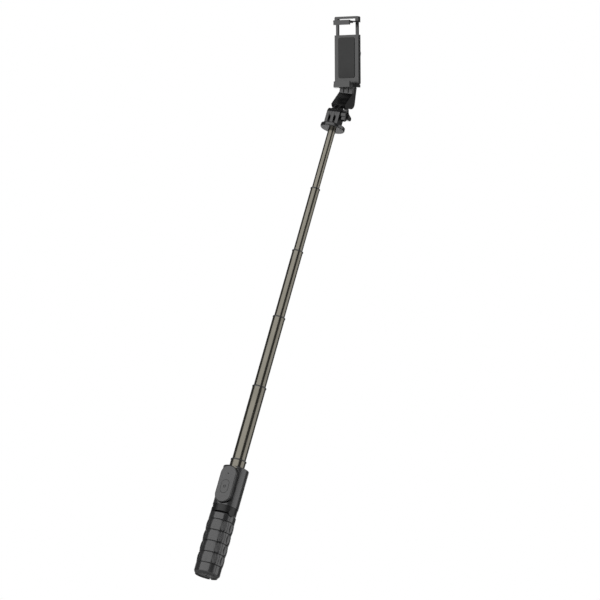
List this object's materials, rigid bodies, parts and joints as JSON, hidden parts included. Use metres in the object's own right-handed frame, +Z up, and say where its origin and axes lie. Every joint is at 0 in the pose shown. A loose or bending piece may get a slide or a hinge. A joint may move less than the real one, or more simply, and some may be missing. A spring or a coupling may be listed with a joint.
{
  "type": "selfie stick",
  "caption": "Telescopic selfie stick with a fold-out tripod grip, removable push-button remote, tilting arm and sprung phone clamp.",
  "frame": {"origin": "centre of the closed feet, on the surface they stand on", "axes": "+Z up the stick, the remote and the phone face -Y, the thumb knob is on the +X side"},
  "size_m": [0.0419, 0.0673, 0.6867],
  "materials": {
    "housing_plastic": "satin charcoal ABS",
    "leg_plastic": "satin charcoal ABS",
    "hub_plastic": "black nylon",
    "tube_steel": "plated steel, warm grey, fine drawn finish",
    "guide_plastic": "black acetal",
    "pad_rubber": "soft black rubber",
    "remote_plastic": "satin charcoal ABS",
    "light_pipe": "clear acrylic",
    "fastener_steel": "zinc-plated steel",
    "circuit_board": "green solder mask",
    "cell_steel": "nickel-plated steel",
    "head_plastic": "satin black ABS",
    "clamp_plastic": "satin black ABS"
  },
  "bodies": {
    "handle": {"upper_housing": "housing_plastic", "leg_hub": "hub_plastic", "hub_screws": "fastener_steel", "hinge_pins": "fastener_steel", "column_plug": "guide_plastic", "tube_1": "tube_steel", "guide_ring_1": "guide_plastic"},
    "leg_1": {"leg_1": "leg_plastic", "foot_pad_1": "pad_rubber"},
    "leg_2": {"leg_2": "leg_plastic", "foot_pad_2": "pad_rubber"},
    "leg_3": {"leg_3": "leg_plastic", "foot_pad_3": "pad_rubber"},
    "section_2": {"tube_2": "tube_steel", "guide_ring_2": "guide_plastic", "glide_2": "guide_plastic"},
    "section_3": {"tube_3": "tube_steel", "guide_ring_3": "guide_plastic", "glide_3": "guide_plastic"},
    "section_4": {"tube_4": "tube_steel", "guide_ring_4": "guide_plastic", "glide_4": "guide_plastic"},
    "section_5": {"tube_5": "tube_steel", "guide_ring_5": "guide_plastic", "glide_5": "guide_plastic"},
    "section_6": {"tube_6": "tube_steel", "glide_6": "guide_plastic", "head_base": "head_plastic", "head_lock_pin": "fastener_steel", "tilt_nut": "fastener_steel"},
    "knob": {"thumb_knob": "head_plastic", "tilt_bolt": "fastener_steel"},
    "arm": {"tilt_arm": "head_plastic", "friction_washer": "guide_plastic"},
    "clamp": {"turntable": "clamp_plastic", "pivot_screw": "fastener_steel", "clamp_body": "clamp_plastic", "clamp_cover": "clamp_plastic", "cover_screws": "fastener_steel", "lower_jaw": "clamp_plastic", "jaw_screws": "fastener_steel", "lower_jaw_pad": "pad_rubber", "back_pad": "pad_rubber", "jaw_springs": "fastener_steel"},
    "upper_jaw": {"upper_jaw": "clamp_plastic", "upper_jaw_pad": "pad_rubber"},
    "remote": {"remote_rear_case": "remote_plastic", "remote_front_case": "remote_plastic", "remote_light_pipe": "light_pipe", "remote_board": "circuit_board", "button_dome": "cell_steel", "coin_cell": "cell_steel"},
    "button": {"remote_button": "remote_plastic"}
  },
  "joints": [
    {"name": "leg_1_fold", "type": "hinge", "parent": "handle", "child": "leg_1", "pos_m": [0, -0.0113, 0.0705], "axis": [-1, 0, 0], "range_deg": [0, 60]},
    {"name": "leg_2_fold", "type": "hinge", "parent": "handle", "child": "leg_2", "pos_m": [0.00979, 0.00565, 0.0705], "axis": [0.5, -0.866, 0], "range_deg": [0, 60]},
    {"name": "leg_3_fold", "type": "hinge", "parent": "handle", "child": "leg_3", "pos_m": [-0.00979, 0.00565, 0.0705], "axis": [0.5, 0.866, 0], "range_deg": [0, 60]},
    {"name": "section_2_slide", "type": "slide", "parent": "handle", "child": "section_2", "axis": [0, 0, 1], "range_m": [-0.0882, 0]},
    {"name": "section_3_slide", "type": "slide", "parent": "section_2", "child": "section_3", "axis": [0, 0, 1], "range_m": [-0.08445, 0]},
    {"name": "section_4_slide", "type": "slide", "parent": "section_3", "child": "section_4", "axis": [0, 0, 1], "range_m": [-0.0807, 0]},
    {"name": "section_5_slide", "type": "slide", "parent": "section_4", "child": "section_5", "axis": [0, 0, 1], "range_m": [-0.07695, 0]},
    {"name": "section_6_slide", "type": "slide", "parent": "section_5", "child": "section_6", "axis": [0, 0, 1], "range_m": [-0.0747, 0]},
    {"name": "knob_turn", "type": "hinge", "parent": "section_6", "child": "knob", "pos_m": [0, 0, 0.5719], "axis": [1, 0, 0], "continuous": true},
    {"name": "arm_tilt", "type": "hinge", "parent": "section_6", "child": "arm", "pos_m": [0, 0, 0.5719], "axis": [1, 0, 0], "range_deg": [-68, 70]},
    {"name": "clamp_roll", "type": "hinge", "parent": "arm", "child": "clamp", "pos_m": [0, -0.02463, 0.63956], "axis": [0, 0.9397, 0.342], "range_deg": [-142, 158]},
    {"name": "jaw_slide", "type": "slide", "parent": "clamp", "child": "upper_jaw", "axis": [-0.1392, -0.3387, 0.9305], "range_m": [-0.013, 0.019], "stiffness_N_per_m": 350, "deforming": ["jaw_springs"]},
    {"name": "remote_release", "type": "slide", "parent": "handle", "child": "remote", "axis": [0, -1, 0], "range_m": [0, 0.02]},
    {"name": "button_press", "type": "slide", "parent": "remote", "child": "button", "axis": [0, 1, 0], "range_m": [0, 0.0004], "stiffness_N_per_m": 2500}
  ]
}
